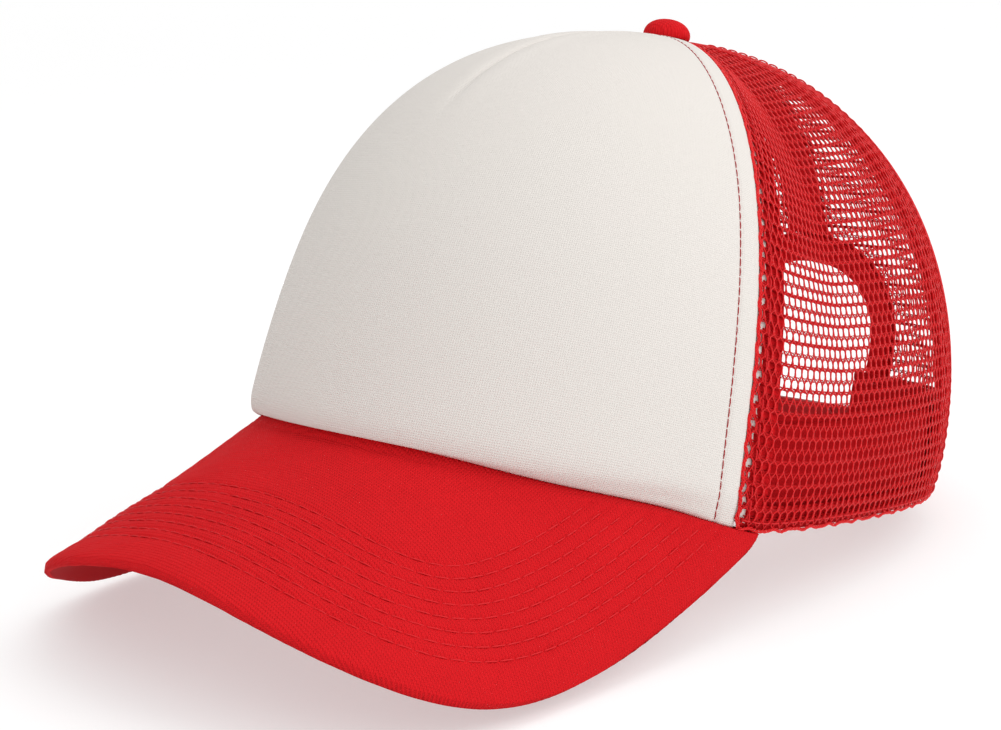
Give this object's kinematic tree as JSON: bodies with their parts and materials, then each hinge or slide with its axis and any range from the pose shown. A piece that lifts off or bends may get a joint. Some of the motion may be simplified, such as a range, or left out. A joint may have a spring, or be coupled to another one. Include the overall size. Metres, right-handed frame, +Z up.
{
  "type": "trucker cap",
  "caption": "Cap with a padded foam front panel, open mesh sides and back, a curved stitched visor, a top button and a plastic snap closure under a half-moon rear opening.",
  "frame": {"origin": "centre of the head opening, in the plane of the crown's bottom edge at the sides and back", "axes": "+Z up out of the crown's top, +X the wearer's left, -Y the wearer's front, where the visor points"},
  "size_m": [0.1728, 0.2699, 0.1666],
  "materials": {
    "panel_cloth": "smooth off-white polyester face, matt",
    "foam": "open-cell foam",
    "mesh_knit": "open warp-knit polyester net, slightly shiny yarn",
    "tape_cloth": "woven tape",
    "sweatband_cloth": "brushed twill",
    "visor_cloth": "plain-weave cotton blend with sewn rows",
    "visor_board": "moulded sheet",
    "button_metal": "pressed",
    "strap_plastic": "soft moulded plastic, satin"
  },
  "bodies": {
    "crown": {"front_panel_fabric": "panel_cloth", "front_panel_foam": "foam", "left_side_mesh": "mesh_knit", "right_side_mesh": "mesh_knit", "left_back_mesh": "mesh_knit", "right_back_mesh": "mesh_knit", "left_front_seam_tape": "tape_cloth", "right_front_seam_tape": "tape_cloth", "left_back_seam_tape": "tape_cloth", "right_back_seam_tape": "tape_cloth", "centre_back_seam_tape": "tape_cloth", "front_dart_seam_tape": "tape_cloth", "arch_binding": "tape_cloth", "sweatband_cloth": "sweatband_cloth", "sweatband_padding": "foam", "visor_top_fabric": "visor_cloth", "visor_board": "visor_board", "visor_under_fabric": "visor_cloth", "button_cover": "visor_cloth", "button_shell": "button_metal", "button_post": "button_metal", "button_backing": "button_metal", "hole_strap_sewn_end": "strap_plastic", "peg_strap_sewn_end": "strap_plastic"},
    "hole_strap": {"hole_strap": "strap_plastic"},
    "peg_strap": {"peg_strap": "strap_plastic"}
  },
  "joints": [
    {"name": "hole_strap_flex", "type": "hinge", "parent": "crown", "child": "hole_strap", "pos_m": [0.0202, 0.10717, 0.00951], "axis": [0, -0.2419, -0.9703], "range_deg": [0, 70], "stiffness_Nm_per_rad": 0.01},
    {"name": "peg_strap_flex", "type": "hinge", "parent": "crown", "child": "peg_strap", "pos_m": [-0.02004, 0.10548, 0.00951], "axis": [0, -0.2419, -0.9703], "range_deg": [0, 30], "stiffness_Nm_per_rad": 0.01}
  ]
}
